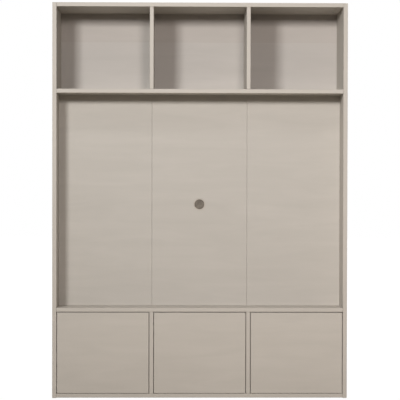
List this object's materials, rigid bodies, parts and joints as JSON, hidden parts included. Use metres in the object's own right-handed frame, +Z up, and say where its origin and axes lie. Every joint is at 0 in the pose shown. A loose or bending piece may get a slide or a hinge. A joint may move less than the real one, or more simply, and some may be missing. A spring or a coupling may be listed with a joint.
{
  "type": "tv cabinet",
  "caption": "Tall wall-standing television cabinet with open bays above, a shallow niche for the screen and push-to-open doors below.",
  "frame": {"origin": "on the floor, below the middle of the cabinet's width and depth", "axes": "+Z up, +X to the right as seen from the front, +Y from the front to the wall behind"},
  "size_m": [1.6, 0.38, 2.145],
  "materials": {
    "lacquered_wood": "satin clay-coloured lacquer over a faint grain",
    "lacquered_back": "thin board in the same lacquer",
    "zinc_plated_steel": "bright plated",
    "latch_plastic": "matte grey",
    "grommet_plastic": "matte, close to the lacquer",
    "glide_plastic": "matte dark"
  },
  "bodies": {
    "cabinet": {"bottom_panel": "lacquered_wood", "cable_grommet": "grommet_plastic", "center_door_latch_housing": "latch_plastic", "center_door_lower_hinge_arm": "zinc_plated_steel", "center_door_lower_hinge_plate": "zinc_plated_steel", "center_door_upper_hinge_arm": "zinc_plated_steel", "center_door_upper_hinge_plate": "zinc_plated_steel", "center_foot_left": "glide_plastic", "center_foot_right": "glide_plastic", "floor_glide_front_left": "glide_plastic", "floor_glide_front_right": "glide_plastic", "floor_glide_rear_left": "glide_plastic", "floor_glide_rear_right": "glide_plastic", "left_door_latch_housing": "latch_plastic", "left_door_lower_hinge_arm": "zinc_plated_steel", "left_door_lower_hinge_plate": "zinc_plated_steel", "left_door_upper_hinge_arm": "zinc_plated_steel", "left_door_upper_hinge_plate": "zinc_plated_steel", "left_side_panel": "lacquered_wood", "lower_back_panel": "lacquered_back", "lower_divider_left": "lacquered_wood", "lower_divider_right": "lacquered_wood", "niche_cleat_left": "lacquered_wood", "niche_cleat_right": "lacquered_wood", "niche_panel_center": "lacquered_wood", "niche_panel_left": "lacquered_wood", "niche_panel_right": "lacquered_wood", "niche_post_left": "lacquered_wood", "niche_post_right": "lacquered_wood", "niche_shelf": "lacquered_wood", "right_door_latch_housing": "latch_plastic", "right_door_lower_hinge_arm": "zinc_plated_steel", "right_door_lower_hinge_plate": "zinc_plated_steel", "right_door_upper_hinge_arm": "zinc_plated_steel", "right_door_upper_hinge_plate": "zinc_plated_steel", "right_side_panel": "lacquered_wood", "top_panel": "lacquered_wood", "upper_back_panel": "lacquered_back", "upper_divider_left": "lacquered_wood", "upper_divider_right": "lacquered_wood", "upper_shelf": "lacquered_wood"},
    "left_door_leaf": {"left_door": "lacquered_wood", "left_door_lower_hinge_cup": "zinc_plated_steel", "left_door_upper_hinge_cup": "zinc_plated_steel"},
    "left_hinge_links": {"left_door_lower_hinge_link": "zinc_plated_steel", "left_door_upper_hinge_link": "zinc_plated_steel"},
    "left_plunger": {"left_door_latch_plunger": "latch_plastic"},
    "center_door_leaf": {"center_door": "lacquered_wood", "center_door_lower_hinge_cup": "zinc_plated_steel", "center_door_upper_hinge_cup": "zinc_plated_steel"},
    "center_hinge_links": {"center_door_lower_hinge_link": "zinc_plated_steel", "center_door_upper_hinge_link": "zinc_plated_steel"},
    "center_plunger": {"center_door_latch_plunger": "latch_plastic"},
    "right_door_leaf": {"right_door": "lacquered_wood", "right_door_lower_hinge_cup": "zinc_plated_steel", "right_door_upper_hinge_cup": "zinc_plated_steel"},
    "right_hinge_links": {"right_door_lower_hinge_link": "zinc_plated_steel", "right_door_upper_hinge_link": "zinc_plated_steel"},
    "right_plunger": {"right_door_latch_plunger": "latch_plastic"}
  },
  "joints": [
    {"name": "left_door_hinge", "type": "hinge", "parent": "cabinet", "child": "left_door_leaf", "pos_m": [-0.762, -0.185, 0.24725], "axis": [0, 0, -1], "range_deg": [0, 95]},
    {"name": "left_link_pivot", "type": "hinge", "parent": "left_door_leaf", "child": "left_hinge_links", "pos_m": [-0.762, -0.179, 0.24725], "axis": [0, 0, -1], "range_deg": [-118, 0]},
    {"name": "left_latch_push", "type": "slide", "parent": "cabinet", "child": "left_plunger", "axis": [0, 1, 0], "range_m": [0, 0.003], "stiffness_N_per_m": 300, "springref_m": -0.005},
    {"name": "center_door_hinge", "type": "hinge", "parent": "cabinet", "child": "center_door_leaf", "pos_m": [-0.23667, -0.185, 0.24725], "axis": [0, 0, -1], "range_deg": [0, 95]},
    {"name": "center_link_pivot", "type": "hinge", "parent": "center_door_leaf", "child": "center_hinge_links", "pos_m": [-0.23667, -0.179, 0.24725], "axis": [0, 0, -1], "range_deg": [-118, 0]},
    {"name": "center_latch_push", "type": "slide", "parent": "cabinet", "child": "center_plunger", "axis": [0, 1, 0], "range_m": [0, 0.003], "stiffness_N_per_m": 300, "springref_m": -0.005},
    {"name": "right_door_hinge", "type": "hinge", "parent": "cabinet", "child": "right_door_leaf", "pos_m": [0.762, -0.185, 0.24725], "axis": [0, 0, 1], "range_deg": [0, 95]},
    {"name": "right_link_pivot", "type": "hinge", "parent": "right_door_leaf", "child": "right_hinge_links", "pos_m": [0.762, -0.179, 0.24725], "axis": [0, 0, 1], "range_deg": [-118, 0]},
    {"name": "right_latch_push", "type": "slide", "parent": "cabinet", "child": "right_plunger", "axis": [0, 1, 0], "range_m": [0, 0.003], "stiffness_N_per_m": 300, "springref_m": -0.005}
  ],
  "couplings": [
    {"joint": "left_link_pivot", "follows": "left_door_hinge", "ratio": -1.237},
    {"joint": "center_link_pivot", "follows": "center_door_hinge", "ratio": -1.237},
    {"joint": "right_link_pivot", "follows": "right_door_hinge", "ratio": -1.237}
  ]
}
